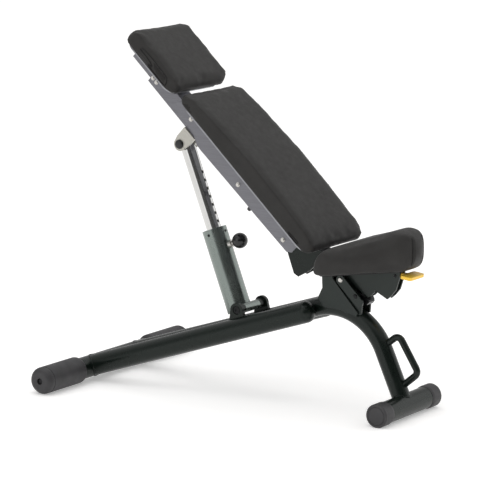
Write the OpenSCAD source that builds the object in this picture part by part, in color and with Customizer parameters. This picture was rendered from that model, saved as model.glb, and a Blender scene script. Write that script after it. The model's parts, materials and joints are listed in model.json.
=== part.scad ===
// Adjustable incline weight bench: wishbone base, telescopic support column,
// reclining backrest with head pad, tilting saddle seat and transport rollers.
// Origin: floor level, midway along the bench. +X towards the seat, +Z up.

/* [Base frame] */
// Distance from the rear crossbar to the front crossbar
wheelbase = 973; // [960:1:985]
// Overall width over the two rear rollers
rear_span = 690; // [660:5:720]
// Overall width over the two front foot caps
front_span = 296; // [260:2:340]
// Outside diameter of the base tubes and crossbars
base_tube_d = 60.3; // [58:0.1:60.3]
// Outside diameter of the front leg tube
leg_tube_d = 50.8; // [49:0.1:50.8]
// Wall thickness of every steel tube
tube_wall = 3; // [2:0.5:4]
// Rise of the base tubes above horizontal, in degrees
base_slope = 18.2; // [18:0.1:18.4]
// Half distance between the base tubes at the rear crossbar
rear_half_gap = 108; // [106:1:112]
// Half distance between the base tubes at their front ends
front_half_gap = 49; // [48:1:50]
// Centreline radius of the front leg bend
leg_bend_r = 176; // [174:1:178]

/* [Rollers and feet] */
// Diameter of a rear transport roller
roller_d = 76; // [72:1:80]
// Length of a rear transport roller
roller_len = 175; // [160:5:180]
// Diameter of a front foot cap
foot_cap_d = 65; // [65:1:68]
// Length of a front foot cap
foot_cap_len = 45; // [40:1:50]
// Diameter of the bent rod of the carry handle
handle_d = 19; // [16:1:20]

/* [Support column] */
// Diameter of the outer column tube
column_d = 70; // [70:1:72]
// Length of the outer column tube
column_len = 240; // [230:2:244]
// Diameter of the sliding inner post
post_d = 42.4; // [40:0.2:42.4]
// Length of the inner post below its top pivot
post_len = 340; // [320:5:344]
// Number of locking holes in the post
hole_count = 10; // [6:1:10]
// Radius of the ball knob of the pull pin
knob_r = 22; // [18:1:23]

/* [Backrest] */
// Recline of the backrest above horizontal, in degrees
back_angle = 43.5; // [43.5:0.5:43.5]
// Length of the back pad
back_pad_len = 588; // [570:2:590]
// Width of the back pad
back_pad_w = 280; // [260:2:284]
// Length of the head pad
head_pad_len = 232; // [220:2:236]
// Width of the head pad
head_pad_w = 268; // [250:2:272]
// Distance between the outer faces of the backrest rails
rail_span = 232; // [220:2:236]

/* [Seat] */
// Width of the seat pad at its rear end
seat_w = 292; // [280:2:296]
// Radius of the rounded seat nose in plan
nose_r = 50; // [44:1:52]
// Angle of the seat board above horizontal, in degrees
board_angle = 4.9; // [4.8:0.1:5]

/* [Hidden] */
$fn = 96;
eps = 0.5;

// Layout, measured from the rear crossbar before the shift to mid length
rear_z = roller_d / 2;
front_z = 31.8;
rear_bar_d = base_tube_d + 1.2;
nose_x = 1024;
mid_x = (nose_x - roller_d / 2) / 2;
base_run = 690;
base_rise = base_run * tan(base_slope);
pivot = [473, 247];
hinge = [738, 408];
seat_hinge = [787, 361];
pawl_at = [835, 321];
lever_at = [948, 387];
column_lean = 21.2;
column_offset = -36;
post_reach = 488;
pin_height = 181.6;

// Widths and thicknesses that several parts share
gusset_in = leg_tube_d / 2;
gusset_t = 6;
gusset_out = gusset_in + gusset_t;
ear_in = 57;
ear_out = 67;
rail_t = 4;
tray_t = 4;
clevis_in = 28;
clevis_out = 36;
sleeve_half = gusset_in - 0.6;
bracket_in = 19.4;
axle_d = 20;
pin_d = 16;
running = 0.15;

// Backrest heights above the hinge, square to the pads
rail_top = 15;
back_pad_z = 19;
head_pad_z = 6;
back_pad_x = -8.5;
head_pad_x = back_pad_x - back_pad_len - 11;
spine_z = [-76, -30];
clevis_at = to_backrest(lean_point(column_offset, post_reach));

module place() {
    translate([-mid_x, 0, 0]) children();
}

// Left is +Y, as seen by a person who sits on the bench and faces the seat nose
module both_sides() {
    children();
    mirror([0, 1, 0]) children();
}

// Rod along Y from y0 to y1 through a point of the side view
module y_rod(at, y0, y1, d) {
    translate([at[0], y0, at[1]]) rotate([-90, 0, 0]) cylinder(d = d, h = y1 - y0);
}

// Plate in the side view from y0 to y1
module y_plate(y0, y1) {
    translate([0, y1, 0]) rotate([90, 0, 0]) linear_extrude(y1 - y0) children();
}

// Straight bar between two points
module bar(from, to, d) {
    run = to - from;
    flat = norm([run[0], run[1]]);
    translate(from)
        rotate([0, 90 - atan2(run[2], flat), atan2(run[1], run[0])])
            cylinder(d = d, h = norm(run));
}

// Round bar through corners of the side view, with a bend of radius r at each
function unit(v) = v / norm(v);
function bend_half(a, b, c) = acos(unit(a - b) * unit(c - b)) / 2;
function tangent_len(a, b, c, r) = r / tan(bend_half(a, b, c));
function bend_centre(a, b, c, r) = b + unit(unit(a - b) + unit(c - b)) * r / sin(bend_half(a, b, c));
function bend_start(a, b, c, r) = b + unit(a - b) * tangent_len(a, b, c, r);
function bend_end(a, b, c, r) = b + unit(c - b) * tangent_len(a, b, c, r);
function heading(v) = atan2(v[1], v[0]);

// The bend is a hair thinner than the straights and runs a little way into them
module bend(a, b, c, r, d, bore = 0) {
    centre = bend_centre(a, b, c, r);
    first = heading(bend_start(a, b, c, r) - centre);
    last = heading(bend_end(a, b, c, r) - centre);
    sweep = (last - first + 540) % 360 - 180;
    lap = sqrt(0.1 * r) / r * 180 / PI;
    translate([centre[0], 0, centre[1]])
        rotate([90, 0, 0])
            rotate([0, 0, (sweep > 0 ? first : last) - lap])
                rotate_extrude(angle = abs(sweep) + 2 * lap) translate([r, 0]) difference() {
                    circle(d = d - 0.2);
                    if (bore > 0) circle(d = bore + 0.2);
                }
}

module side_bar(from, to, d, bore = 0) {
    difference() {
        bar([from[0], 0, from[1]], [to[0], 0, to[1]], d);
        if (bore > 0) bar([from[0], 0, from[1]], [to[0], 0, to[1]], bore);
    }
}

// Points of the side view between the leaning column, the floor frame and the backrest
function lean_point(x, z) = pivot + [
    x * cos(column_lean) - z * sin(column_lean),
    x * sin(column_lean) + z * cos(column_lean),
];
function to_backrest(p) =
    let (d = p - hinge)
    [d[0] * cos(back_angle) - d[1] * sin(back_angle), d[0] * sin(back_angle) + d[1] * cos(back_angle)];

module on_backrest() {
    translate([hinge[0], 0, hinge[1]]) rotate([0, back_angle, 0]) children();
}

module on_column() {
    translate([pivot[0], 0, pivot[1]]) rotate([0, -column_lean, 0]) children();
}

// Column axis seen from the column's own frame
module on_axis(height) {
    translate([column_offset, 0, height]) children();
}

function arc(at, r, from, to, steps) =
    [for (i = [0:steps]) at + r * [cos(from + (to - from) * i / steps), sin(from + (to - from) * i / steps)]];

// Rounded rectangle from circles and two crossing bars
module round_rect(x0, x1, half_w, r) {
    translate([x0 + r, -half_w]) square([x1 - x0 - 2 * r, 2 * half_w]);
    translate([x0, -half_w + r]) square([x1 - x0, 2 * half_w - 2 * r]);
    for (x = [x0 + r, x1 - r], y = [-half_w + r, half_w - r]) translate([x, y]) circle(r = r);
}

// ---- Base frame ----

module rear_bar_solid() {
    y_rod([0, rear_z], -180, 180, rear_bar_d);
}

module front_bar_solid() {
    y_rod([wheelbase, front_z], -front_span / 2, front_span / 2, base_tube_d);
}

module tube_y(at, half, d) {
    difference() {
        y_rod(at, -half, half, d);
        y_rod(at, -half - eps, half + eps, d - 2 * tube_wall);
    }
}

module rear_crossbar() {
    color("darkslategray") place() tube_y([0, rear_z], rear_span / 2 - roller_len - 2, rear_bar_d);
}

function base_point(t) = [
    t * base_run,
    rear_half_gap + t * (front_half_gap - rear_half_gap),
    rear_z + t * base_rise,
];

module base_tube_solid(d, t0, t1) {
    bar(base_point(t0), base_point(t1), d);
}

leg_end = [wheelbase, front_z];
leg_top = [748, 102.5 + leg_bend_r];
leg_start = [636, rear_z + 636 * tan(base_slope) + 4.3];
leg_knee = leg_corner();

// Corner where the sloping start of the leg and its foot stretch would meet
function leg_corner() =
    let (centre = [748, 102.5], reach = leg_end - centre)
    let (foot = heading(reach) + acos(leg_bend_r / norm(reach)))
    let (head = 90 + base_slope)
    let (half = (head - foot) / 2)
    centre + leg_bend_r / cos(half) * [cos(foot + half), sin(foot + half)];

module leg_run(d, bore = 0) {
    start = bend_start(leg_start, leg_knee, leg_end, leg_bend_r);
    end = bend_end(leg_start, leg_knee, leg_end, leg_bend_r);
    side_bar(leg_start, start, d, bore);
    bend(leg_start, leg_knee, leg_end, leg_bend_r, d, bore);
    side_bar(end, leg_end, d, bore);
}

module base_tube() {
    difference() {
        base_tube_solid(base_tube_d, 0, 1);
        base_tube_solid(base_tube_d - 2 * tube_wall, 0.01, 1.01);
        rear_bar_solid();
        leg_head();
    }
}

module base_tube_left() {
    color("darkslategray") place() base_tube();
}

module base_tube_right() {
    color("darkslategray") place() mirror([0, 1, 0]) base_tube();
}

// Straight upper end of the leg, drawn on past the ends of the base tubes
module leg_head() {
    side_bar(leg_start - 40 * unit(leg_knee - leg_start), leg_knee, leg_tube_d + 0.2);
}

// Flat steel ends welded on the base tubes beside the front leg
// Domed ends of the base tubes, beside the leg
module base_tube_plugs() {
    along = base_point(1) - base_point(0);
    color("darkslategray") place() both_sides() difference() {
        translate(base_point(1)) rotate([0, acos(along[2] / norm(along)), atan2(along[1], along[0])])
            rotate_extrude() polygon(concat(
                [[0, 0]],
                [for (a = [0:10:80]) [(base_tube_d / 2 - 0.4) * cos(a), 24 * sin(a)]],
                [[0, 24]]
            ));
        leg_head();
    }
}

module front_leg() {
    color("darkslategray") place() difference() {
        leg_run(leg_tube_d, leg_tube_d - 2 * tube_wall);
        front_bar_solid();
    }
}

module front_crossbar() {
    color("darkslategray") place() tube_y([wheelbase, front_z], front_span / 2 - 6, base_tube_d);
}

// Rubber cap with a rounded rim, a face groove and a flat where it stands
module front_cap() {
    cap_r = foot_cap_d / 2;
    tube_r = base_tube_d / 2;
    lip = 3;
    intersection() {
        translate([wheelbase, -front_span / 2, front_z]) rotate([-90, 0, 0]) difference() {
            rotate_extrude() polygon([
                [0, 0], [cap_r - lip, 0], [cap_r - 1, 1], [cap_r, lip], [cap_r, foot_cap_len - 8],
                [tube_r + 0.6, foot_cap_len], [tube_r, foot_cap_len], [tube_r, 6], [0, 6],
            ]);
            rotate_extrude() translate([cap_r - 8, 0]) circle(r = 1.2, $fn = 24);
        }
        translate([wheelbase - 50, -200, 0]) cube([100, 400, 100]);
    }
}

module front_cap_left() {
    color("dimgray") place() mirror([0, 1, 0]) front_cap();
}

module front_cap_right() {
    color("dimgray") place() front_cap();
}

handle_path = [[914, 192], [954, 224], [1016, 126], [966, 84]];
handle_bend = 16;

module carry_handle() {
    p = handle_path;
    color("darkslategray") place() difference() {
        union() {
            side_bar(p[0], bend_start(p[0], p[1], p[2], handle_bend), handle_d);
            bend(p[0], p[1], p[2], handle_bend, handle_d);
            side_bar(bend_end(p[0], p[1], p[2], handle_bend),
                bend_start(p[1], p[2], p[3], handle_bend), handle_d);
            bend(p[1], p[2], p[3], handle_bend, handle_d);
            side_bar(bend_end(p[1], p[2], p[3], handle_bend), p[3], handle_d);
        }
        leg_run(leg_tube_d);
    }
}

// ---- Hinge brackets on the frame ----

module gusset() {
    lug_r = 17;
    y_plate(gusset_in, gusset_out) difference() {
        union() {
            translate(hinge) circle(r = lug_r);
            polygon([
                [hinge[0] - lug_r, hinge[1]], [728, 380], [730, 334], [716, 305], [734, 280],
                [765, 281], [800, 276], [838, 266], [843, 276], [763, 362],
                [hinge[0] + lug_r, hinge[1]],
            ]);
        }
        translate(hinge) circle(d = pin_d);
    }
}

module gusset_left() {
    color("lightslategray") place() gusset();
}

module gusset_right() {
    color("lightslategray") place() mirror([0, 1, 0]) gusset();
}

module gusset_web() {
    color("lightslategray") place() difference() {
        translate([728, -gusset_in, 295]) cube([6, 2 * gusset_in, 92]);
        leg_run(leg_tube_d);
    }
}

// Two inner cheeks and a rear web that carry the seat hinge
module seat_bracket() {
    outline = [
        [seat_hinge[0] - 14, 361], [768, 350], [768, 290], [800, 270], [850, 270],
        [852, 302], [835, 333], [seat_hinge[0] + 13, 366],
    ];
    color("darkslategray") place() difference() {
        union() {
            both_sides() y_plate(bracket_in, gusset_in) union() {
                translate(seat_hinge) circle(r = 14);
                polygon(outline);
            }
            translate([768, -bracket_in - 1, 290]) cube([5, 2 * bracket_in + 2, 42]);
        }
        y_rod(seat_hinge, -40, 40, 12);
        y_rod(pawl_at, -40, 40, 10);
        leg_run(leg_tube_d);
    }
}

module pivot_arm() {
    width = 26;
    low = [845, 305];
    along = heading(low - seat_hinge);
    difference() {
        y_plate(gusset_in, gusset_out) union() {
            translate(seat_hinge) circle(d = width);
            translate(low) circle(d = width);
            translate(seat_hinge) rotate(along)
                translate([0, -width / 2]) square([norm(low - seat_hinge), width]);
        }
        y_rod(seat_hinge, 0, 40, 12);
        y_rod(pawl_at, 0, 40, 10);
    }
}

module pivot_arm_left() {
    color("slategray") place() pivot_arm();
}

module pivot_arm_right() {
    color("slategray") place() mirror([0, 1, 0]) pivot_arm();
}

// Ear on a base tube, with the boss that faces the column sleeve
module pivot_ear() {
    ear_r = 20;
    boss_end = 37;
    difference() {
        union() {
            y_plate(ear_in, ear_out) union() {
                translate(pivot) circle(r = ear_r);
                polygon([
                    pivot - [ear_r, 0], [448, 205], [505, 205], pivot + [ear_r, 0],
                ]);
            }
            y_rod(pivot, boss_end, ear_in, 27);
        }
        y_rod(pivot, ear_out - 5, ear_out + 1, 24);
        y_rod(pivot, boss_end - 1, ear_out, 12);
        base_tube_solid(base_tube_d, 0, 1);
    }
}

module pivot_ear_left() {
    color("darkslategray") place() pivot_ear();
}

module pivot_ear_right() {
    color("darkslategray") place() mirror([0, 1, 0]) pivot_ear();
}

// Socket screws sunk in the ears
module pivot_bolts() {
    color("black") place() both_sides() difference() {
        union() {
            y_rod(pivot, 38, ear_out - 5, 12);
            y_rod(pivot, ear_out - 5, ear_out - 1, 20);
        }
        translate([pivot[0], ear_out - 3, pivot[1]]) rotate([-90, 0, 0]) cylinder(d = 11, h = 5, $fn = 6);
    }
}

// Pin with a domed head on one side and a nut on the other
module hinge_pin(at, d, grip, head_d, head_h) {
    y_rod(at, -grip, grip, d);
    for (side = [-1, 1])
        translate([at[0], side * grip, at[1]]) rotate([-90 * side, 0, 0])
            cylinder(d1 = head_d, d2 = head_d * 0.7, h = head_h);
}

module back_hinge_pin() {
    color("silver") place() hinge_pin(hinge, pin_d, gusset_out, 26, 5);
}

module seat_hinge_pin() {
    color("silver") place() hinge_pin(seat_hinge, 12, gusset_out, 15, 2.5);
}

module pawl_bolt() {
    color("silver") place() hinge_pin(pawl_at, 10, gusset_out, 13, 2.5);
}

// ---- Rollers ----

roller_in = rear_span / 2 - roller_len;
axle_end = rear_span / 2 - 12;

module roller_axles() {
    plug_end = roller_in - 2;
    color("gray") place() both_sides() {
        y_rod([0, rear_z], plug_end - 20, plug_end, rear_bar_d - 2 * tube_wall);
        y_rod([0, rear_z], plug_end, axle_end, axle_d);
    }
}

module roller_screws() {
    color("black") place() both_sides() {
        y_rod([0, rear_z], axle_end, axle_end + 2.5, 34);
        y_rod([0, rear_z], axle_end + 2.5, axle_end + 8, 13);
    }
}

bush_d = 44;

// Thick rubber roller with a domed outer end and a chamfered inner end
module roller() {
    r = roller_d / 2;
    cavity = axle_end + 3.5 - roller_in;
    shoulder = roller_len - 17;
    dome = [for (a = [0:15:90]) [r - 15 + 15 * cos(a), shoulder + 17 * sin(a)]];
    translate([0, roller_in, rear_z]) rotate([-90, 0, 0]) rotate_extrude() polygon(concat(
        [[bush_d / 2, 0], [r - 6, 0], [r - 1, 5], [r, 9], [r, shoulder - 7],
         [r - 1.2, shoulder - 6], [r - 1.2, shoulder - 3], [r, shoulder - 2]],
        dome,
        [[9, roller_len], [9, cavity], [bush_d / 2, cavity]]
    ));
}

module roller_bushes() {
    for (y = [roller_in + 0.5, axle_end - 18.5])
        difference() {
            y_rod([0, rear_z], y, y + 18, bush_d);
            y_rod([0, rear_z], y - 1, y + 19, axle_d + running);
        }
}

module roller_left() {
    color("dimgray") place() roller();
}

module roller_right() {
    color("dimgray") place() mirror([0, 1, 0]) roller();
}

module roller_bushes_left() {
    color("black") place() roller_bushes();
}

module roller_bushes_right() {
    color("black") place() mirror([0, 1, 0]) roller_bushes();
}

// ---- Backrest ----

module back_pad() {
    color("dimgray") place() on_backrest() intersection() {
        y_plate(-back_pad_w / 2, back_pad_w / 2) polygon([
            [-32, back_pad_z], [-14, 28], [back_pad_x, 44], [-14, 56], [-60, 67], [-180, 73],
            [-330, 74], [-480, 64], [-570, 53], [back_pad_x - back_pad_len + 4, 42],
            [back_pad_x - back_pad_len, 32], [back_pad_x - back_pad_len + 4, 23], [-575, back_pad_z],
        ]);
        linear_extrude(100) round_rect(back_pad_x - back_pad_len, back_pad_x, back_pad_w / 2, 30);
    }
}

module head_pad() {
    far = head_pad_x - head_pad_len;
    color("dimgray") place() on_backrest() intersection() {
        y_plate(-head_pad_w / 2, head_pad_w / 2) polygon([
            [head_pad_x - 14, head_pad_z], [head_pad_x - 3, 14], [head_pad_x, 28],
            [head_pad_x - 5, 42], [head_pad_x - 25, 50], [head_pad_x - 120, 54], [far + 25, 51],
            [far + 4, 42], [far, 28], [far + 3, 15], [far + 16, head_pad_z],
        ]);
        linear_extrude(100) round_rect(far, head_pad_x, head_pad_w / 2, 34);
    }
}

module back_tray() {
    color("silver") place() on_backrest() translate([0, 0, back_pad_z - tray_t])
        linear_extrude(tray_t)
            round_rect(back_pad_x - back_pad_len + 22, -34, back_pad_w / 2 - 13, 30);
}

module head_tray() {
    color("silver") place() on_backrest() translate([0, 0, head_pad_z - tray_t])
        linear_extrude(tray_t)
            round_rect(head_pad_x - head_pad_len + 16, head_pad_x - 14, head_pad_w / 2 - 11, 34);
}

// Side rail: deepest below the clevis, tapering towards both ends
module rail() {
    place() on_backrest()
        y_plate(rail_span / 2 - rail_t, rail_span / 2)
            polygon([
                [-60, rail_top], [-60, -14], [-72, -25], [-210, -29], [-258, -29], [-450, -34], [-466, -33],
                [-494, -20], [-516, -14], [-582, -11], [-590, -7], [-594, 1], [-592, 9], [-586, rail_top],
            ]);
}

module rail_left() {
    color("lightsteelblue") rail();
}

module rail_right() {
    color("lightsteelblue") mirror([0, 1, 0]) rail();
}

// Box sections between the rails, with a saddle below two of them
module cross_members() {
    half = rail_span / 2 - rail_t;
    low = -11;
    color("silver") place() on_backrest() {
        for (x = [-545, -320, -120])
            translate([x, -half, low]) difference() {
                cube([36, 2 * half, rail_top - low]);
                translate([2.5, -1, 2.5]) cube([31, 2 * half + 2, rail_top - low - 5]);
            }
        for (x = [-545, -120])
            translate([x, -sleeve_half, spine_z[1]]) cube([36, 2 * sleeve_half, low - spine_z[1] + 1]);
    }
}

module box_tube(x0, x1, half_w, z, wall) {
    difference() {
        translate([x0, -half_w, z[0]]) cube([x1 - x0, 2 * half_w, z[1] - z[0]]);
        translate([x0 - 1, -half_w + wall, z[0] + wall])
            cube([x1 - x0 + 2, 2 * half_w - 2 * wall, z[1] - z[0] - 2 * wall]);
    }
}

spine_half = 30;

module spine() {
    color("silver") place() on_backrest() box_tube(-735, -490, spine_half, spine_z, 3);
}

// Bar that carries the head pad, pushed into the spine
module head_support() {
    color("silver") place() on_backrest()
        box_tube(-818, -690, spine_half - 3, [spine_z[0] + 10, spine_z[1] - 3], 3);
}

// Folded channel between the spine and the head tray
module head_bracket() {
    color("silver") place() on_backrest() difference() {
        translate([-800, -46, spine_z[1]]) cube([140, 92, head_pad_z - tray_t - spine_z[1]]);
        translate([-801, -42, spine_z[1] - 1]) cube([142, 84, head_pad_z - tray_t - spine_z[1] - 3]);
    }
}

module clevis() {
    cheek_r = 19;
    top = spine_z[0];
    color("whitesmoke") place() on_backrest() difference() {
        union() {
            both_sides() y_plate(clevis_in, clevis_out) union() {
                translate(clevis_at) circle(r = cheek_r);
                polygon([
                    [-560, top], [-514, top], [-514, -104], [-526, -136],
                    [clevis_at[0] - cheek_r, clevis_at[1]], [-560, -112],
                ]);
            }
            translate([-560, -clevis_in, top - 5]) cube([46, 2 * clevis_in, 5]);
        }
        y_rod(clevis_at, -40, 40, pin_d);
    }
}

module clevis_pin() {
    color("silver") place() on_backrest() y_rod(clevis_at, -clevis_out, clevis_out, pin_d);
}

module clevis_pin_caps() {
    color("black") place() on_backrest() both_sides()
        translate([clevis_at[0], clevis_out, clevis_at[1]]) rotate([-90, 0, 0]) rotate_extrude()
            polygon([[0, 0], [13, 0], [13, 3], [11.5, 6], [8, 8], [0, 8.6]]);
}

// Hollow bracket below the rails that reaches down to the hinge sleeve
module hinge_bracket() {
    half = sleeve_half;
    wall = 5;
    outer = [
        [-120, spine_z[1]], [-98, -78], [-44, -105], [-28, -101], [-15, -60], [-13.5, -20],
        [-11, -7], [-11, 7], [-20, 14], [-50, -4], [-84, spine_z[1]],
    ];
    color("darkslategray") place() on_backrest() difference() {
        y_plate(-half, half) polygon(outer);
        y_plate(-half + wall, half - wall) polygon([
            [-112, -20], [-93, -74], [-44, -98], [-20, -106], [-5, -60], [-19.5, -20], [-40, -12],
        ]);
        y_rod([0, 0], -40, 40, 26);
    }
}

module hinge_sleeve() {
    color("darkslategray") place() difference() {
        y_rod(hinge, -sleeve_half, sleeve_half, 26);
        y_rod(hinge, -sleeve_half - 1, sleeve_half + 1, pin_d + running);
    }
}

module button_bolt(at, face) {
    y_rod(at, face, face + 1.6, 13);
    y_rod(at, face + 1.6, face + 4.6, 9);
}

// Button head screws with washers, on the rails and on the sides of the spine
module back_bolts() {
    color("gainsboro") place() on_backrest() both_sides() {
        for (at = [[-529, 5], [-102, -10], [-302, -10]]) button_bolt(at, rail_span / 2);
        for (x = [-728, -712]) button_bolt([x, -58], spine_half);
    }
}

// Rubber buffers that meet the frame when the backrest lies flat
module rest_stops() {
    face = rail_span / 2;
    color("black") place() on_backrest() both_sides()
        translate([-234, face - 7, -38]) cylinder(d1 = 11, d2 = 14, h = 9);
}

// ---- Support column ----

module post_tube() {
    color("gainsboro") place() on_column() difference() {
        on_axis(post_reach - post_len) cylinder(d = post_d, h = post_len);
        on_axis(post_reach - post_len - 1) cylinder(d = post_d - 6.4, h = post_len + 2);
        y_rod([column_offset, post_reach], -50, 50, 34);
        for (i = [0:hole_count - 1])
            on_axis(pin_height + i * 23.9) rotate([0, 90, 0]) cylinder(d = 9, h = 40);
    }
}

module post_eye() {
    half = clevis_in - 0.6;
    color("gainsboro") place() on_column() difference() {
        y_rod([column_offset, post_reach], -half, half, 34);
        y_rod([column_offset, post_reach], -half - 1, half + 1, pin_d + running);
    }
}

column_top = column_len - 4;
pin_hole_d = 10.4;

module pin_bore() {
    on_axis(pin_height) rotate([0, 90, 0]) cylinder(d = pin_hole_d, h = 60);
}

module column_tube() {
    color("darkslategray") place() on_column() difference() {
        on_axis(-4) cylinder(d = column_d, h = column_len);
        on_axis(-5) cylinder(d = column_d - 2 * tube_wall, h = column_len + 2);
        y_rod([0, 0], -50, 50, 26);
        pin_bore();
    }
}

module column_bush() {
    bush_len = 64;
    color("black") place() on_column() difference() {
        on_axis(column_top - bush_len) cylinder(d = column_d - 2 * tube_wall, h = bush_len);
        on_axis(column_top - bush_len - 1) cylinder(d = post_d + running, h = bush_len + 2);
        pin_bore();
    }
}

module column_sleeve() {
    color("darkslategray") place() on_column() difference() {
        y_rod([0, 0], -36, 36, 26);
        y_rod([0, 0], -37, 37, 14);
    }
}

module set_screws() {
    color("silver") place() on_column() on_axis(column_top - 15)
        for (turn = [0:90:270])
            rotate([0, 0, turn]) translate([column_d / 2, 0, 0]) rotate([0, 90, 0])
                cylinder(d1 = 8, d2 = 6, h = 1.6);
}

housing_end = column_d / 2 + 9;

module pin_housing() {
    color("gainsboro") place() on_column() on_axis(pin_height) rotate([0, 90, 0]) difference() {
        translate([0, 0, column_d / 2 - 2]) cylinder(d = 22, h = housing_end - column_d / 2 + 2);
        cylinder(d = pin_hole_d, h = 60);
        rotate([0, -90, 0]) translate([0, 0, -60]) cylinder(d = column_d, h = 120);
    }
}

module pull_pin() {
    color("gainsboro") place() on_column() on_axis(pin_height) rotate([0, 90, 0]) {
        translate([0, 0, post_d / 2 + 0.6]) cylinder(d = 10, h = housing_end - post_d / 2);
        translate([0, 0, housing_end + 0.6]) cylinder(d = 14, h = 8);
    }
}

module pin_knob() {
    flat = 19;
    color("black") place() on_column() on_axis(pin_height) rotate([0, 90, 0])
        translate([0, 0, housing_end + 8.6 + flat]) intersection() {
            sphere(r = knob_r);
            translate([0, 0, -flat]) cylinder(r = 40, h = 100);
        }
}

// ---- Seat ----

board_x = 761;
board_z = 384.5;
function board_line(x) = board_z + (x - board_x) * tan(board_angle);

// Plan of the seat: full width behind, straight taper, round nose
module seat_plan(inset) {
    half = seat_w / 2 - inset;
    r = nose_r - inset;
    cx = nose_x - nose_r;
    corner = 12;
    shoulder = max(800, board_x + inset + corner + 1);
    reach = norm([cx - shoulder, half]);
    tilt = atan2(half, cx - shoulder) - asin(r / reach);
    rear = board_x + inset + corner;
    polygon(concat(
        arc([rear, corner - half], corner, 180, 270, 6),
        [[shoulder, -half]],
        arc([cx, 0], r, tilt - 90, 90 - tilt, 16),
        [[shoulder, half]],
        arc([rear, half - corner], corner, 90, 180, 6)
    ));
}

module seat_pad() {
    color("dimgray") place() difference() {
        intersection() {
            translate([0, 0, 380]) linear_extrude(160) seat_plan(0);
            y_plate(-200, 200) polygon([
                [783, board_line(783)], [985, board_line(985)], [997, 408], [1008, 417],
                [1017, 431], [nose_x - 1, 450], [nose_x, 463], [1021, 484], [1012, 502], [1000, 510],
                [985, 513], [965, 510], [900, 488], [820, 463], [798, 455], [783, 448], [772, 438],
                [766, 425], [board_x, 403], [board_x + 1, 393], [772, 386],
            ]);
        }
        board_solid(7);
    }
}

// Board lying flush in the underside of the pad
module board_solid(depth) {
    intersection() {
        translate([0, 0, 370]) linear_extrude(80) intersection() {
            seat_plan(16);
            translate([780, -200]) square([200, 400]);
        }
        y_plate(-200, 200) polygon([
            [770, board_line(770) - 3], [1000, board_line(1000) - 3],
            [1000, board_line(1000) + depth], [770, board_line(770) + depth],
        ]);
    }
}

module seat_board() {
    color("black") place() intersection() {
        board_solid(6.7);
        y_plate(-200, 200) polygon([
            [760, board_line(760)], [1010, board_line(1010)], [1010, 440], [760, 440],
        ]);
    }
}

sector_y = [9, 13.5];

// Toothed plates under the board that the seat pawl catches
module seat_sectors() {
    outline = [
        [790, board_line(790)], [774, 366], [779, 352], [795, 351.5], [828, 339.5], [864, 318.5],
        [872, 322.5], [884, 334.5], [885, 341.5], [897, 334], [924, 320], [936, 330], [951, 348],
        [962, 383], [965, board_line(965)],
    ];
    color("slategray") place() both_sides() difference() {
        y_plate(sector_y[0], sector_y[1]) union() {
            polygon(outline);
            translate(seat_hinge) circle(r = 13.5);
        }
        y_rod(seat_hinge, 0, 40, 24);
        y_rod(lever_at, 0, 40, 6);
    }
}

module seat_sleeve() {
    half = bracket_in - 0.5;
    color("gray") place() difference() {
        y_rod(seat_hinge, -half, half, 24);
        y_rod(seat_hinge, -half - 1, half + 1, 12 + running);
    }
}

// Wide paddle under the seat nose on a short neck
module release_lever() {
    neck = sector_y[0] - 0.6;
    paddle = [976, 1010];
    color("gold") place() difference() {
        union() {
            y_plate(-neck, neck) polygon([
                [lever_at[0] - 8, 381], [lever_at[0] + 4, 379.5], [paddle[0] + 4, 388],
                [paddle[0] + 4, 395], [lever_at[0] + 4, 394], [lever_at[0] - 8, 392],
            ]);
            translate([paddle[0], 0, 387]) rotate([0, 7, 0]) linear_extrude(8.5) intersection() {
                round_rect(0, paddle[1] - paddle[0], 38, 8);
                translate([0, -40]) square([40, 80]);
            }
        }
        y_rod(lever_at, -40, 40, 6.1);
    }
}

// Pin that carries the lever between the toothed plates
module lever_pin() {
    color("silver") place() hinge_pin(lever_at, 6, sector_y[1], 9, 2);
}

module seat_pawl() {
    half = 14;
    color("black") place() difference() {
        y_plate(-half, half) polygon(concat(
            [[842, 326], [857, 318.5], [867, 311], [869.5, 306.5], [860, 297], [844, 295]],
            arc(pawl_at, 9, -120, -300, 12)
        ));
        y_rod(pawl_at, -40, 40, 10 + running);
    }
}

rear_crossbar();
base_tube_left();
base_tube_right();
base_tube_plugs();
front_leg();
front_crossbar();
front_cap_left();
front_cap_right();
carry_handle();
gusset_left();
gusset_right();
gusset_web();
seat_bracket();
pivot_arm_left();
pivot_arm_right();
pivot_ear_left();
pivot_ear_right();
pivot_bolts();
back_hinge_pin();
seat_hinge_pin();
pawl_bolt();
roller_axles();
roller_screws();
roller_left();
roller_bushes_left();
roller_right();
roller_bushes_right();
back_pad();
head_pad();
back_tray();
head_tray();
rail_left();
rail_right();
cross_members();
spine();
head_support();
head_bracket();
clevis();
clevis_pin();
clevis_pin_caps();
hinge_bracket();
hinge_sleeve();
back_bolts();
rest_stops();
post_tube();
post_eye();
column_tube();
column_bush();
column_sleeve();
set_screws();
pin_housing();
pull_pin();
pin_knob();
seat_pad();
seat_board();
seat_sectors();
seat_sleeve();
lever_pin();
release_lever();
seat_pawl();
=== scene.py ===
import json
import math

import bmesh
import bpy
from mathutils import Matrix, Vector
from mathutils.bvhtree import BVHTree
from mathutils.kdtree import KDTree


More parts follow.
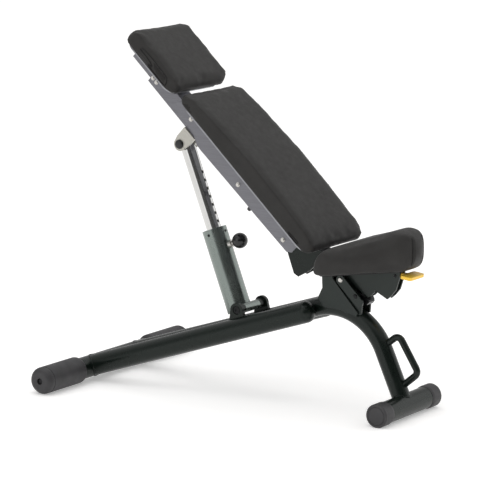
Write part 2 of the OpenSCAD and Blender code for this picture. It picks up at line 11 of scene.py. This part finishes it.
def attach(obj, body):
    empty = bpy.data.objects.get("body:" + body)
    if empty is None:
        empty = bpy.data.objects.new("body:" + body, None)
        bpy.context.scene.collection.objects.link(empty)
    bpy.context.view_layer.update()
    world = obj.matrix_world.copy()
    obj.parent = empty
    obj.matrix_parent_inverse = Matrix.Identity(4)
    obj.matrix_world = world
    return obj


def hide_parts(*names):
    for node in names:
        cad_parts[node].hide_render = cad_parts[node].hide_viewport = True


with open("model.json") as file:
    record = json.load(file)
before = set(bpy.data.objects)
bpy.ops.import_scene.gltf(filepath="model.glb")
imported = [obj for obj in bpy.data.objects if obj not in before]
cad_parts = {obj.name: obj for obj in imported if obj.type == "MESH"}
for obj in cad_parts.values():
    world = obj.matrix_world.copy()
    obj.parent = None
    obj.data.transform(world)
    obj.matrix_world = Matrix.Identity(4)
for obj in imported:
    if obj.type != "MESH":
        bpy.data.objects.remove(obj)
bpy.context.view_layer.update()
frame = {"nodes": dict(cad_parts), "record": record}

MM = 0.001
MID_X = 493 * MM

# ---------------------------------------------------------------- small helpers


def row(x, y, z):
    """A point of the drawing, in mm from the rear crossbar, as metres in the row frame."""
    return Vector((x * MM - MID_X, y * MM, z * MM))


def linear(r, g, b):
    """An 8-bit screen colour as linear light."""
    return tuple(
        c / 255 / 12.92 if c / 255 <= 0.04045 else ((c / 255 + 0.055) / 1.055) ** 2.4
        for c in (r, g, b)
    ) + (1.0,)


def add_object(name, data):
    ob = bpy.data.objects.new(name, data)
    bpy.context.scene.collection.objects.link(ob)
    return ob


def smooth(mesh):
    mesh.polygons.foreach_set("use_smooth", [True] * len(mesh.polygons))
    mesh.update()


# ---------------------------------------------------------------- materials


class Paint:
    """One node material, built up a layer at a time."""

    def __init__(self, name, colour, metallic=0.0, rough=0.5):
        self.mat = bpy.data.materials.new(name)
        self.mat.use_nodes = True
        self.tree = self.mat.node_tree
        self.bsdf = self.tree.nodes["Principled BSDF"]
        self.mat.diffuse_color = colour
        self.colour = colour
        self.rough = rough
        self.set("Base Color", colour)
        self.set("Metallic", metallic)
        self.set("Roughness", rough)
        self.normal = None

    def set(self, socket, value):
        self.bsdf.inputs[socket].default_value = value
        return self

    def node(self, kind, **values):
        made = self.tree.nodes.new(kind)
        for key, value in values.items():
            setattr(made, key, value)
        return made

    def link(self, a, b):
        self.tree.links.new(a, b)

    def coords(self, scale=(1, 1, 1), turn=(0, 0, 0)):
        where = self.node("ShaderNodeTexCoord")
        mapping = self.node("ShaderNodeMapping")
        mapping.inputs["Scale"].default_value = scale
        mapping.inputs["Rotation"].default_value = turn
        self.link(where.outputs["Object"], mapping.inputs["Vector"])
        return mapping.outputs["Vector"]

    def noise(self, scale, detail=3.0, stretch=(1, 1, 1), turn=(0, 0, 0)):
        made = self.node("ShaderNodeTexNoise")
        made.inputs["Scale"].default_value = scale
        made.inputs["Detail"].default_value = detail
        self.link(self.coords(stretch, turn), made.inputs["Vector"])
        return made.outputs["Fac"]

    def cells(self, scale, feature="F1", stretch=(1, 1, 1)):
        made = self.node("ShaderNodeTexVoronoi", feature=feature)
        made.inputs["Scale"].default_value = scale
        self.link(self.coords(stretch), made.inputs["Vector"])
        return made.outputs["Distance"]

    def spread(self, value, low, high, lo_in=0.3, hi_in=0.7):
        made = self.node("ShaderNodeMapRange")
        made.inputs["From Min"].default_value = lo_in
        made.inputs["From Max"].default_value = hi_in
        made.inputs["To Min"].default_value = low
        made.inputs["To Max"].default_value = high
        self.link(value, made.inputs["Value"])
        return made.outputs["Result"]

    def vary_colour(self, value, dark, light):
        """The colour drifts from dark to light times its own value."""
        made = self.node("ShaderNodeMix", data_type="RGBA")
        made.inputs[6].default_value = tuple(c * dark for c in self.colour[:3]) + (1,)
        made.inputs[7].default_value = tuple(c * light for c in self.colour[:3]) + (1,)
        self.link(self.spread(value, 0, 1), made.inputs[0])
        self.link(made.outputs[2], self.bsdf.inputs["Base Color"])
        return self

    def vary_rough(self, value, amount):
        self.link(
            self.spread(value, self.rough - amount, self.rough + amount),
            self.bsdf.inputs["Roughness"],
        )
        return self

    def bump(self, value, depth, strength=1.0):
        made = self.node("ShaderNodeBump")
        made.inputs["Distance"].default_value = depth
        made.inputs["Strength"].default_value = strength
        self.link(value, made.inputs["Height"])
        if self.normal is not None:
            self.link(self.normal, made.inputs["Normal"])
        self.normal = made.outputs["Normal"]
        self.link(self.normal, self.bsdf.inputs["Normal"])
        return self

    def round_edges(self, radius):
        made = self.node("ShaderNodeBevel", samples=6)
        made.inputs["Radius"].default_value = radius
        self.normal = made.outputs["Normal"]
        self.link(self.normal, self.bsdf.inputs["Normal"])
        return self


def powder_coat(name, colour, rough, metallic=0.35, coat=0.35, edge=0.0012):
    """Metallic paint with fine flakes, a faint orange peel and a clear top coat."""
    p = Paint(name, colour, metallic, rough)
    p.round_edges(edge)
    p.bump(p.noise(420, 4), 0.00012, 0.5)
    p.bump(p.noise(38, 2), 0.0006, 0.18)
    p.vary_colour(p.noise(2600, 1), 0.82, 1.2)
    p.vary_rough(p.noise(14, 4), 0.05)
    p.set("Coat Weight", coat).set("Coat Roughness", 0.16).set("Specular IOR Level", 0.3)
    return p.mat


def brushed(name, colour, rough, stretch=(2, 60, 60), turn=(0, 0, 0), metallic=0.9):
    """Metal with fine lines along one direction."""
    p = Paint(name, colour, metallic, rough)
    p.round_edges(0.0008)
    p.bump(p.noise(30, 5, stretch, turn), 0.00008, 0.35)
    p.vary_colour(p.noise(9, 4, stretch, turn), 0.9, 1.07)
    p.vary_rough(p.noise(16, 4, stretch, turn), 0.06)
    return p.mat


def leatherette(name, colour, rough, grain=1.0):
    """Coated upholstery: small pebbled cells, fine pores and a soft sheen."""
    p = Paint(name, colour, 0.0, rough)
    p.bump(p.noise(9, 3), 0.0016, 0.35)
    p.bump(p.cells(620, "DISTANCE_TO_EDGE"), 0.00035 * grain, 0.55)
    p.bump(p.noise(1500, 3), 0.00012 * grain, 0.5)
    p.vary_colour(p.noise(11, 5), 0.9, 1.1)
    p.vary_rough(p.noise(60, 4), 0.07)
    p.set("Sheen Weight", 0.04).set("Sheen Roughness", 0.45)
    p.set("Specular IOR Level", 0.2)
    return p.mat


def rubbery(name, colour, rough, grain=300, depth=0.0004):
    p = Paint(name, colour, 0.0, rough)
    p.round_edges(0.001)
    p.bump(p.noise(grain, 4), depth, 0.6)
    p.vary_colour(p.noise(22, 5), 0.85, 1.15)
    p.vary_rough(p.noise(35, 4), 0.08)
    return p.mat


def chrome(name):
    p = Paint(name, linear(206, 206, 204), 1.0, 0.13)
    p.bump(p.noise(45, 3, (1, 1, 0.2)), 0.0001, 0.08)
    p.vary_colour(p.noise(8, 5), 0.95, 1.02)
    p.vary_rough(p.noise(70, 5, (1, 1, 0.15)), 0.035)
    return p.mat


LEAN = math.radians(43.5)
frame_paint = powder_coat("anthracite_paint", linear(19, 27, 23), 0.27, 0.25, 0.06)
bracket_paint = powder_coat("bracket_paint", linear(32, 39, 36), 0.38, 0.4, 0.25, 0.0008)
column_paint = powder_coat("column_paint", linear(126, 134, 130), 0.25, 0.9, 0.2, 0.001)
rail_paint = brushed("rail_silver", linear(118, 118, 123), 0.36, (2, 50, 50), (0, LEAN, 0), 0.7)
tray_metal = brushed("tray_aluminium", linear(150, 151, 155), 0.34, (2, 50, 50), (0, LEAN, 0))
cream_paint = powder_coat("clevis_paint", linear(186, 184, 176), 0.35, 0.45, 0.2)
bright_steel = brushed("bright_steel", linear(196, 194, 190), 0.25, (1, 30, 1), (0, 0, 0), 1.0)
dark_steel = powder_coat("black_oxide", linear(26, 27, 28), 0.38, 0.6, 0.1, 0.0006)
rubber = rubbery("moulded_rubber", linear(50, 49, 51), 0.55)
nylon = rubbery("black_nylon", linear(30, 30, 31), 0.42, 500, 0.00015)
knob_gloss = rubbery("ball_knob_gloss", linear(20, 21, 22), 0.16, 60, 0.00008)
board_black = rubbery("board_black", linear(24, 24, 25), 0.7, 180, 0.0005)
lever_paint = powder_coat("lever_yellow", linear(255, 208, 66), 0.34, 0.0, 0.4, 0.0008)
cover = leatherette("cover_charcoal", linear(49, 48, 47), 0.55)
# The pads' sides: the cover's leatherette made darker, painted shade for the sides that face away from the
# light
shaded_side_cover = leatherette("side_charcoal_painted_shade", linear(35, 34, 33), 0.6, 1.3)
thread = rubbery("seam_thread", linear(26, 25, 25), 0.8, 900, 0.0002)
post_chrome = chrome("post_chrome")

BY_SLOT = {
    "frame": frame_paint,
    "bracket": bracket_paint,
    "silver_paint": rail_paint,
    "tray": tray_metal,
    "cream_paint": cream_paint,
    "chrome_post": post_chrome,
    "bright_steel": bright_steel,
    "black_steel": dark_steel,
    "rubber": rubber,
    "upholstery": cover,
    "board": board_black,
    "nylon": nylon,
    "knob_plastic": knob_gloss,
    "lever_paint": lever_paint,
}
BY_NODE = {"column_tube": column_paint, "column_sleeve": column_paint, "set_screws": dark_steel}


def only_material(ob, mat):
    ob.data.materials.clear()
    ob.data.materials.append(mat)


for part in frame["record"]["subparts"]:
    name = part["node"]
    only_material(frame["nodes"][name], BY_NODE.get(name, BY_SLOT[part["material_slot"]]))

# ---------------------------------------------------------------- upholstery

HINGE = row(738, 0, 408)
BACK = Matrix.Translation(HINGE) @ Matrix.Rotation(LEAN, 4, "Y")
BOARD = math.radians(4.9)
SEAT = Matrix.Translation(row(761, 0, 384.5)) @ Matrix.Rotation(-BOARD, 4, "Y")


def evaluated_copy(ob):
    graph = bpy.context.evaluated_depsgraph_get()
    return bpy.data.meshes.new_from_object(ob.evaluated_get(graph))


def swell(ob, pressure, frames=20):
    """Blows the shell up as cloth and returns where its points end."""
    cloth = ob.modifiers.new("cloth", "CLOTH")
    cloth.settings.quality = 5
    cloth.settings.mass = 0.3
    cloth.settings.use_pressure = True
    cloth.settings.uniform_pressure_force = pressure
    cloth.settings.effector_weights.gravity = 0
    cloth.point_cache.frame_start = 1
    cloth.point_cache.frame_end = frames
    scene = bpy.context.scene
    for number in range(1, frames + 1):
        scene.frame_set(number)
    mesh = evaluated_copy(ob)
    places = [v.co.copy() for v in mesh.vertices]
    bpy.data.meshes.remove(mesh)
    ob.modifiers.remove(cloth)
    scene.frame_set(1)
    return places


def make_pad(node, name, place, voxel, inset, cap, base, soft=3):
    """A pad grown from its CAD solid; place is its board's matrix, and soft rounds its edges off."""
    source = frame["nodes"][node]
    ob = add_object(name, source.data.copy())
    remesh = ob.modifiers.new("remesh", "REMESH")
    remesh.mode = "VOXEL"
    remesh.voxel_size = voxel
    mesh = evaluated_copy(ob)
    ob.modifiers.clear()
    ob.data = mesh
    for v in mesh.vertices:
        v.co -= v.normal * inset
    start = [v.co.copy() for v in mesh.vertices]
    to_board = place.inverted()
    ends = swell(ob, 4.0)
    for v, first, last in zip(mesh.vertices, start, ends):
        move = last - first
        height = (to_board @ first).z - base
        limit = cap * min(1.0, max(0.25, height / 0.03))
        if move.length > limit:
            move = move * (limit / move.length)
        v.co = first + move
    bm = bmesh.new()
    bm.from_mesh(mesh)
    for _ in range(soft):
        bmesh.ops.smooth_vert(
            bm, verts=bm.verts, factor=0.5, use_axis_x=True, use_axis_y=True, use_axis_z=True
        )
    bm.to_mesh(mesh)
    bm.free()
    mesh.update()
    only_material(ob, cover)
    return ob


# Distance between the points of a seam
RING_STEP = 0.004
# A stitch longer than this would only bridge the open end of a seam
LONGEST_STITCH = 0.02


def cut_loop(mesh, point, normal):
    """Where a plane meets a closed mesh, as a ring of evenly spaced points."""
    bm = bmesh.new()
    bm.from_mesh(mesh)
    geometry = bm.verts[:] + bm.edges[:] + bm.faces[:]
    cut = bmesh.ops.bisect_plane(bm, geom=geometry, plane_co=point, plane_no=normal, dist=1e-7)
    edges = [g for g in cut["geom_cut"] if isinstance(g, bmesh.types.BMEdge)]
    nearby = {}
    for e in edges:
        a, b = e.verts
        nearby.setdefault(a, []).append(b)
        nearby.setdefault(b, []).append(a)
    best = []
    seen = set()
    for first in nearby:
        if first in seen:
            continue
        ring = [first]
        seen.add(first)
        while True:
            onward = [v for v in nearby[ring[-1]] if v not in seen]
            if not onward:
                break
            ring.append(onward[0])
            seen.add(onward[0])
        if len(ring) > len(best):
            best = ring
    points = [v.co.copy() for v in best]
    bm.free()
    return even_ring(points, RING_STEP)


def even_ring(points, step):
    """The same closed ring with its points step apart, and its small kinks eased."""
    total = sum((points[i] - points[i - 1]).length for i in range(len(points)))
    count = max(8, int(total / step))
    made = []
    gone, want = 0.0, 0.0
    for i in range(len(points)):
        a, b = points[i], points[(i + 1) % len(points)]
        length = (b - a).length
        while want <= gone + length and len(made) < count:
            made.append(a.lerp(b, (want - gone) / length if length else 0))
            want += total / count
        gone += length
    for _ in range(4):
        made = [
            (made[i - 1] + made[i] * 2 + made[(i + 1) % len(made)]) / 4 for i in range(len(made))
        ]
    return made


def press_groove(mesh, ring, width, depth):
    """Sinks the surface along the ring, fading out at width."""
    tree = KDTree(len(ring))
    for i, p in enumerate(ring):
        tree.insert(p, i)
    tree.balance()
    for v in mesh.vertices:
        _, _, far = tree.find(v.co)
        if far < width:
            v.co -= v.normal * depth * (1 - (far / width) ** 2) ** 2
    mesh.update()


def tube_along(name, ring, radius, mat, closed=True):
    """A round cord along the ring, as a mesh."""
    curve = bpy.data.curves.new(name, "CURVE")
    curve.dimensions = "3D"
    spline = curve.splines.new("POLY")
    spline.points.add(len(ring) - 1)
    for p, co in zip(spline.points, ring):
        p.co = (*co, 1)
    spline.use_cyclic_u = closed
    curve.bevel_depth = radius
    curve.bevel_resolution = 3
    curve.use_fill_caps = True
    carrier = add_object(name + "_curve", curve)
    mesh = evaluated_copy(carrier)
    bpy.data.objects.remove(carrier)
    mesh.name = name
    ob = add_object(name, mesh)
    smooth(mesh)
    only_material(ob, mat)
    return ob


def stitches(name, mesh, ring, mat, up):
    """A row of short thread stitches on the top cover, lying along the ring."""
    tree = BVHTree.FromPolygons([v.co for v in mesh.vertices], [p.vertices for p in mesh.polygons])
    bm = bmesh.new()
    for i in range(0, len(ring)):
        a, b = ring[i], ring[(i + 1) % len(ring)]
        spot, normal, _, _ = tree.find_nearest((a + b) / 2)
        if spot is None or normal.dot(up) < 0.25 or (b - a).length > LONGEST_STITCH:
            continue
        along = (b - a).normalized()
        across = along.cross(normal).normalized()
        half, wide, tall = 0.0013, 0.00045, 0.0005
        ring_points = []
        for t, w in ((-1.0, 0.25), (-0.55, 1.0), (0.55, 1.0), (1.0, 0.25)):
            for side, lift in ((-1, 0.0), (-0.6, 0.8), (0.6, 0.8), (1, 0.0)):
                rise = normal * tall * (lift * w + 0.05)
                ring_points.append(bm.verts.new(spot + along * half * t + across * wide * side * w + rise))
        for k in range(3):
            for m in range(3):
                q = k * 4 + m
                bm.faces.new([ring_points[q], ring_points[q + 1], ring_points[q + 5], ring_points[q + 4]])
        bm.faces.new(ring_points[0:4])
        bm.faces.new(ring_points[12:16][::-1])
    made = bpy.data.meshes.new(name)
    bm.to_mesh(made)
    bm.free()
    ob = add_object(name, made)
    smooth(made)
    only_material(ob, mat)
    return ob


# Distance from a seam to its row of stitches, and the radius of the welt in the seam
STITCH_INSET = 0.006
WELT_R = 0.0011


def kept_run(ring, keep):
    """The longest unbroken stretch of a closed ring whose points are all kept."""
    start = next(i for i, point in enumerate(ring) if not keep(point))
    runs = [[]]
    for point in ring[start:] + ring[:start]:
        if keep(point):
            runs[-1].append(point)
        elif runs[-1]:
            runs.append([])
    return max(runs, key=len)


def finish_pad(ob, node, body, seams, up, keep=None):
    """
    Sews a pad: a groove and a welt where each seam plane cuts it, with a row of stitches inside.
    Beyond its seams the pad gets the side cover, a darker copy of the cover that paints shade on its
    sides, unless keep limits them to a part of the pad.
    """
    mesh = ob.data
    rings = [cut_loop(mesh, point, normal) for point, normal in seams]
    rows = [cut_loop(mesh, point - normal * STITCH_INSET, normal) for point, normal in seams]
    if keep:
        rings = [kept_run(ring, keep) for ring in rings]
        rows = [kept_run(row_ring, keep) for row_ring in rows]
    for ring in rings:
        press_groove(mesh, ring, 0.007, 0.0016)
    if keep is None:
        # Faces beyond the seams take the darker side cover, painted shade on the pad's sides
        mesh.materials.append(shaded_side_cover)
        for face in mesh.polygons:
            if any((face.center - point).dot(normal) > 0 for point, normal in seams):
                face.material_index = 1
    smooth(mesh)
    sub = ob.modifiers.new("subdivision", "SUBSURF")
    sub.levels = 1
    sub.render_levels = 1
    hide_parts(node)
    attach(ob, body)
    for i, (ring, stitch) in enumerate(zip(rings, rows)):
        welt = tube_along(f"{ob.name}_welt_{i}", ring, WELT_R, thread, keep is None)
        sewn = stitches(f"{ob.name}_stitches_{i}", mesh, stitch, thread, up)
        for piece in (welt, sewn):
            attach(piece, body)


def side_planes(place, half, inset):
    """The two planes inset from a pad's long sides, each as a point and its outward normal."""
    return [
        (place @ Vector((0, side * (half - inset), 0)), Vector((0, side, 0))) for side in (-1, 1)
    ]


BACK_UP = BACK.to_3x3() @ Vector((0, 0, 1))
SIDE_INSET = 0.005

back_pad = make_pad("back_pad", "back_cushion", BACK, 0.006, 0.003, 0.006, 0.019)
finish_pad(back_pad, "back_pad", "backrest", side_planes(BACK, 0.14, SIDE_INSET), BACK_UP)

head_pad = make_pad("head_pad", "head_cushion", BACK, 0.0055, 0.003, 0.006, 0.006)
finish_pad(head_pad, "head_pad", "backrest", side_planes(BACK, 0.134, SIDE_INSET), BACK_UP)

# The seat is sewn only round its nose, either side of a strip this half as wide
STRIP_HALF = 27
NOSE_LIP = row(1004, 0, 440).x
seat_pad = make_pad("seat_pad", "seat_cushion", SEAT, 0.005, 0.001, 0.007, 0.0, 12)
seat_seams = [(row(1000, side * STRIP_HALF, 440), Vector((0, side, 0))) for side in (-1, 1)]
finish_pad(seat_pad, "seat_pad", "seat", seat_seams, Vector((1, 0, 0)), lambda p: p.x > NOSE_LIP)

# ---------------------------------------------------------------- welds


ACROSS = Vector((0, 1, 0))
BASE_TUBE_R = 0.03015
REAR_BAR_R = 0.03075
LEG_TUBE_R = 0.0254
BEAD_R = 0.0024


def weld_ring(name, start, heading, radius, centre, bar_radius):
    """A bead where a tube that sets out from start along heading meets a crossbar."""
    heading = heading.normalized()
    side = heading.orthogonal().normalized()
    other = heading.cross(side)
    flat_way = heading - ACROSS * heading.dot(ACROSS)
    a = flat_way.dot(flat_way)
    ring = []
    for i in range(72):
        turn = i * math.tau / 72
        point = start + (side * math.cos(turn) + other * math.sin(turn)) * radius
        gap = point - centre
        flat_gap = gap - ACROSS * gap.dot(ACROSS)
        b = 2 * flat_gap.dot(flat_way)
        c = flat_gap.dot(flat_gap) - bar_radius * bar_radius
        root = max(0, b * b - 4 * a * c)
        ring.append(point + heading * ((-b - math.sqrt(root)) / (2 * a)))
    wavy = [
        p + (p - ring[i - 1]).normalized() * 0.0003 * math.sin(i * 2.6) for i, p in enumerate(ring)
    ]
    ob = tube_along(name, wavy, BEAD_R, frame_paint)
    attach(ob, "base")


BASE_RUN = 690
REAR_Z = 38
RISE = math.tan(math.radians(18.2))
for side, label in ((1, "left"), (-1, "right")):
    rear = row(0, side * 108, REAR_Z)
    front = row(BASE_RUN, side * 49, REAR_Z + BASE_RUN * RISE)
    weld_ring(f"rear_weld_{label}", front, rear - front, BASE_TUBE_R, row(0, 0, REAR_Z), REAR_BAR_R)
leg_bend = row(908.3, 0, 175.2)
front_bar = row(973, 0, 31.8)
weld_ring("foot_weld", leg_bend, front_bar - leg_bend, LEG_TUBE_R, front_bar, BASE_TUBE_R)

# ---------------------------------------------------------------- stage, light, camera

AZIMUTH = math.radians(33.5)
ELEVATION = math.radians(10.7)
BACKWARD = Vector(
    (
        math.sin(AZIMUTH) * math.cos(ELEVATION),
        -math.cos(AZIMUTH) * math.cos(ELEVATION),
        math.sin(ELEVATION),
    )
)
AIM = row(474, 0, 406)
DISTANCE = 7.706

floor_mesh = bpy.data.meshes.new("floor")
bm = bmesh.new()
bmesh.ops.create_grid(bm, x_segments=2, y_segments=2, size=40)
bm.to_mesh(floor_mesh)
bm.free()
floor = add_object("floor", floor_mesh)
floor.location.z = -0.0002
floor_paint = Paint("floor_paper", linear(250, 249, 248), 0.0, 0.75)
floor_paint.vary_colour(floor_paint.noise(0.6, 2), 0.985, 1.0)
floor_paint.set("Emission Color", (1, 0.998, 0.996, 1)).set("Emission Strength", 0.32)
only_material(floor, floor_paint.mat)


def softbox(name, place, aim, width, height, power):
    """A rectangular area lamp at place that shines at aim."""
    lamp = bpy.data.lights.new(name, "AREA")
    lamp.shape = "RECTANGLE"
    lamp.size = width
    lamp.size_y = height
    lamp.energy = power
    ob = add_object(name, lamp)
    ob.location = place
    ob.rotation_euler = (place - aim).to_track_quat("Z", "Y").to_euler()


softbox("top_box", Vector((-0.2, -0.2, 3.4)), Vector((0, 0, 0.45)), 3.0, 3.0, 24)

sun = bpy.data.lights.new("sky_light", "SUN")
sun.energy = 0.45
sun.angle = math.radians(120)
add_object("sky_light", sun).rotation_euler = (math.radians(12), math.radians(-10), 0)

# The studio walls, as (degrees round from behind the camera, brightness); plus is to its right
WALLS = [
    (-180, 0.9), (-152, 0.9), (-146, 0.5), (-112, 0.35), (-72, 0.4), (-66, 2.1), (-34, 2.1), (-26, 0.14),
    (44, 0.14), (52, 0.5), (78, 0.6), (84, 1.9), (138, 1.9), (148, 0.9), (180, 0.9),
]
PEAK = 2.2
CEILING = 1.15
# How bright the whole studio is beside those figures
DIMMED = 0.62

world = bpy.data.worlds.new("studio")
bpy.context.scene.world = world
world.use_nodes = True
tree = world.node_tree
background = tree.nodes["Background"]
where = tree.nodes.new("ShaderNodeTexCoord")


def facing(direction):
    """How far the view ray points along direction."""
    made = tree.nodes.new("ShaderNodeVectorMath")
    made.operation = "DOT_PRODUCT"
    made.inputs[1].default_value = direction
    tree.links.new(where.outputs["Generated"], made.inputs[0])
    return made.outputs["Value"]


def mapped(value, low, high, to_low, to_high):
    """A value clamped from one range onto another."""
    made = tree.nodes.new("ShaderNodeMapRange")
    made.inputs["From Min"].default_value = low
    made.inputs["From Max"].default_value = high
    made.inputs["To Min"].default_value = to_low
    made.inputs["To Max"].default_value = to_high
    tree.links.new(value, made.inputs["Value"])
    return made.outputs["Result"]


turn = tree.nodes.new("ShaderNodeMath")
turn.operation = "ARCTAN2"
tree.links.new(facing((math.cos(AZIMUTH), math.sin(AZIMUTH), 0)), turn.inputs[0])
tree.links.new(facing((math.sin(AZIMUTH), -math.cos(AZIMUTH), 0)), turn.inputs[1])
ramp = tree.nodes.new("ShaderNodeValToRGB")
stops = ramp.color_ramp.elements
while len(stops) < len(WALLS):
    stops.new(0.5)
for stop, (angle, bright) in zip(stops, WALLS):
    stop.position = (angle + 180) / 360
    stop.color = (bright / PEAK,) * 3 + (1,)
tree.links.new(mapped(turn.outputs[0], -math.pi, math.pi, 0, 1), ramp.inputs["Fac"])
ceiling = tree.nodes.new("ShaderNodeMix")
ceiling.data_type = "FLOAT"
tree.links.new(mapped(facing((0, 0, 1)), 0.45, 0.7, 0, 1), ceiling.inputs[0])
tree.links.new(ramp.outputs["Color"], ceiling.inputs[2])
ceiling.inputs[3].default_value = CEILING / PEAK
tree.links.new(mapped(ceiling.outputs[0], 0, 1, 0, PEAK * DIMMED), background.inputs["Strength"])
background.inputs["Color"].default_value = (1, 1, 1, 1)
bpy.context.scene.view_settings.view_transform = "Standard"

camera = bpy.data.cameras.new("camera")
camera.sensor_width = 36
camera.lens = 200.4
camera.clip_end = 100
eye = add_object("camera", camera)
eye.location = AIM + BACKWARD * DISTANCE
eye.rotation_euler = BACKWARD.to_track_quat("Z", "Y").to_euler()
bpy.context.scene.camera = eye
